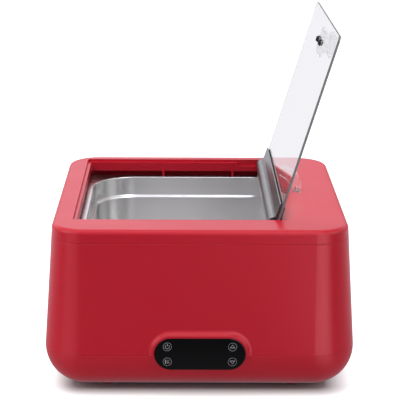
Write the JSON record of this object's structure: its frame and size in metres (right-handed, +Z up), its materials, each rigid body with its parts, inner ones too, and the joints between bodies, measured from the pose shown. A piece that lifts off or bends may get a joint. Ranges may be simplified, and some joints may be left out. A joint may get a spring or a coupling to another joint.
{
  "type": "chafing dish",
  "caption": "Rounded square electric chafing dish with a hinged glass lid open on its stop, a lift-off top cover, a lift-out steel pan and a touch panel.",
  "frame": {"origin": "on the floor under the middle of the housing, which is the middle of the overall box's base", "axes": "+X to the right, towards the hinge side; +Y to the back, towards the mains inlet; +Z up"},
  "size_m": [0.397, 0.4269, 0.4522],
  "materials": {
    "red_lacquer": "satin red lacquer on moulded plastic",
    "stainless": "satin stainless steel",
    "anodised_aluminium": "satin anodised aluminium",
    "plate_aluminium": "rolled aluminium",
    "element_sheath": "dark annealed steel sheath",
    "zinc_steel": "zinc-plated steel",
    "clear_glass": "clear toughened glass",
    "clear_plastic": "clear moulded acrylic",
    "silver_plastic": "satin silver coating on moulded plastic",
    "black_strip": "matt black extruded plastic",
    "black_rubber": "black silicone rubber",
    "black_steel": "black oxide steel",
    "bearing_plastic": "natural acetal",
    "black_lens": "gloss black acrylic",
    "dark_moulding": "matt black moulding",
    "green_board": "green circuit board",
    "transformer_body": "yellow taped transformer",
    "connector_green": "green terminal moulding",
    "connector_white": "white nylon",
    "capacitor_sleeve": "dark blue sleeve",
    "ceramic": "white ceramic",
    "wire_sleeve": "silicone wire sleeve",
    "ribbon": "grey flat cable"
  },
  "bodies": {
    "base": {"base_shell": "red_lacquer", "middle_shell": "red_lacquer", "heated_well": "stainless", "heater_plate": "plate_aluminium", "heating_element": "element_sheath", "element_clips": "element_sheath", "thermostat": "dark_moulding", "thermal_cutout": "ceramic", "temperature_sensor": "ceramic", "shield_studs": "zinc_steel", "heat_shield": "zinc_steel", "shield_screws": "zinc_steel", "lead_grommets": "black_rubber", "heater_leads": "wire_sleeve", "mains_leads": "wire_sleeve", "sensor_leads": "wire_sleeve", "ribbon_cable": "ribbon", "control_lens": "black_lens", "touch_board": "green_board", "display_module": "dark_moulding", "touch_springs": "zinc_steel", "power_board": "green_board", "transformer": "transformer_body", "relay": "dark_moulding", "terminal_block": "connector_green", "capacitors": "capacitor_sleeve", "signal_headers": "connector_white", "board_screws": "zinc_steel", "mains_inlet": "dark_moulding", "inlet_screws": "black_steel", "feet": "red_lacquer", "foot_screws": "zinc_steel", "shell_screws": "zinc_steel"},
    "cover": {"top_cover": "red_lacquer", "hinge_pins": "zinc_steel", "hinge_trough": "stainless", "trough_screws": "zinc_steel", "lid_stop": "clear_plastic", "stop_screw": "zinc_steel"},
    "lid": {"lid_glass": "clear_glass", "lid_profile": "anodised_aluminium", "inner_gasket": "black_rubber", "outer_clamp": "black_strip", "clamp_screws": "black_steel", "profile_end_caps": "black_strip", "hinge_bushes": "bearing_plastic", "lid_handle": "silver_plastic", "handle_washers": "black_rubber", "handle_screws": "black_steel"},
    "pan": {"serving_pan": "stainless"}
  },
  "joints": [
    {"name": "cover_lift", "type": "slide", "parent": "base", "child": "cover", "axis": [0, 0, 1], "range_m": [0, 0.3]},
    {"name": "pan_lift", "type": "slide", "parent": "base", "child": "pan", "axis": [0, 0, 1], "range_m": [0, 0.15]},
    {"name": "lid_hinge", "type": "hinge", "parent": "cover", "child": "lid", "pos_m": [0.094, 0.01625, 0.211], "axis": [0, -1, 0], "range_deg": [0, 106.9]}
  ],
  "couplings": [
    {"joint": "pan_lift", "follows": "cover_lift", "ratio": 0.5}
  ]
}
